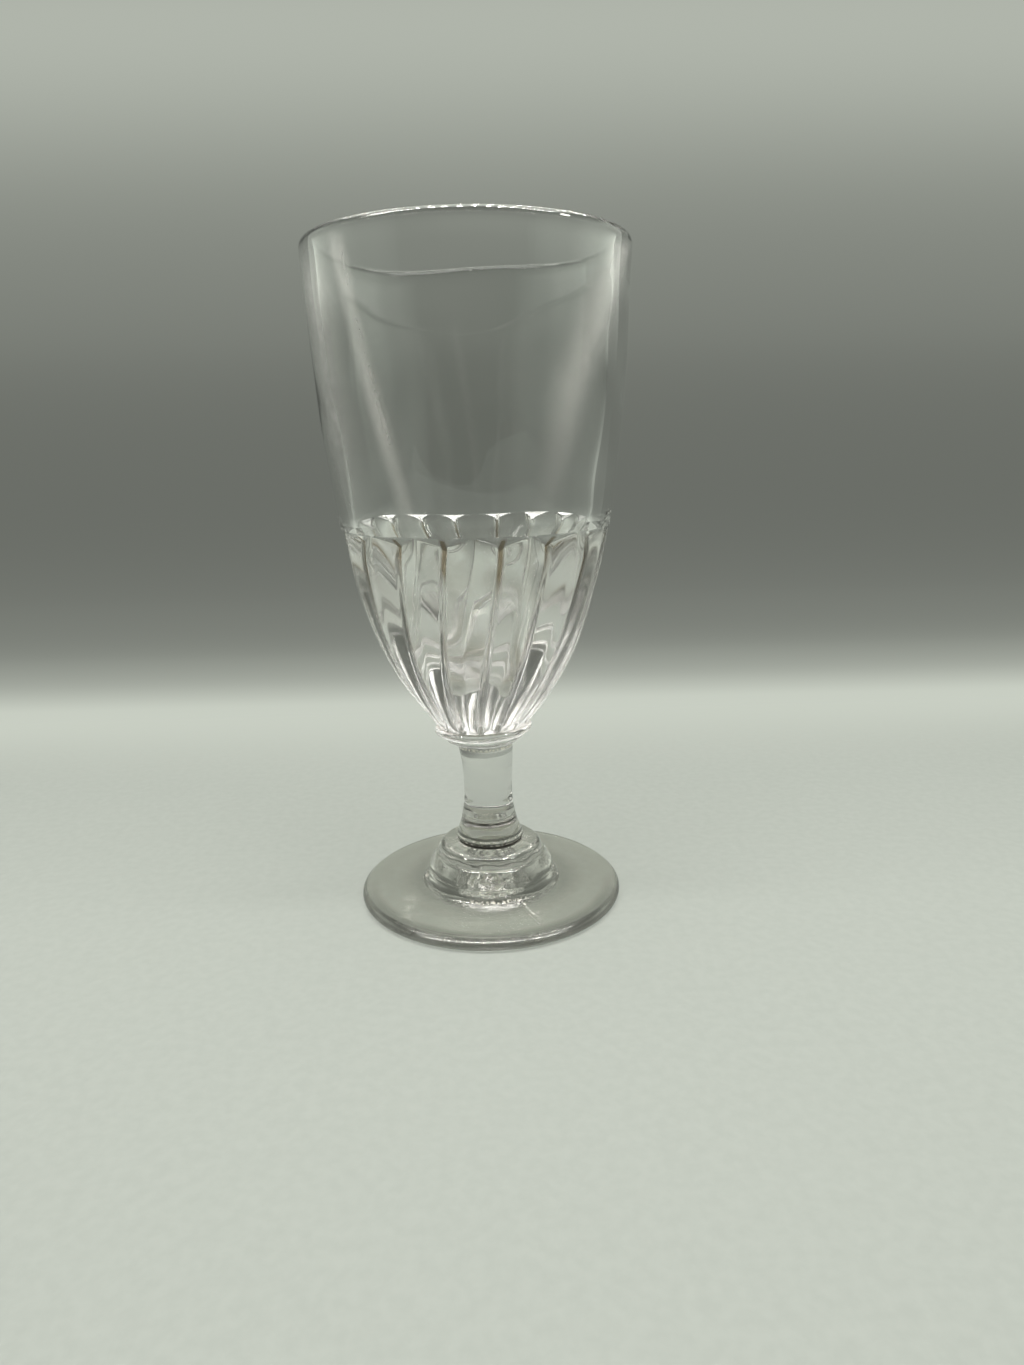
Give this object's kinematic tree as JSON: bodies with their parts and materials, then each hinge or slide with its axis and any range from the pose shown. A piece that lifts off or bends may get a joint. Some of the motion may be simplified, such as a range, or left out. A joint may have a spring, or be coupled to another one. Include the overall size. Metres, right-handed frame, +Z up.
{
  "type": "absinthe glass",
  "caption": "Stemmed absinthe glass in clear pressed glass: funnel bowl with swirled flutes on its lower half, collar ring, short stem, knop and stepped round foot",
  "frame": {"origin": "middle of the flat underside of the foot", "axes": "+Z up along the glass's axis, -Y towards the picture's viewer, +X to that viewer's right"},
  "size_m": [0.0752, 0.0752, 0.16],
  "materials": {
    "bowl_glass": "fire-polished clear pressed glass",
    "collar_glass": "clear glass in two beads with a groove between them",
    "stem_glass": "clear solid glass",
    "knop_glass": "clear solid glass",
    "foot_glass": "clear pressed glass, light wear on the edge"
  },
  "bodies": {
    "root": {"foot": "foot_glass", "foot_knop": "knop_glass", "stem": "stem_glass", "collar": "collar_glass", "bowl": "bowl_glass"}
  },
  "joints": []
}
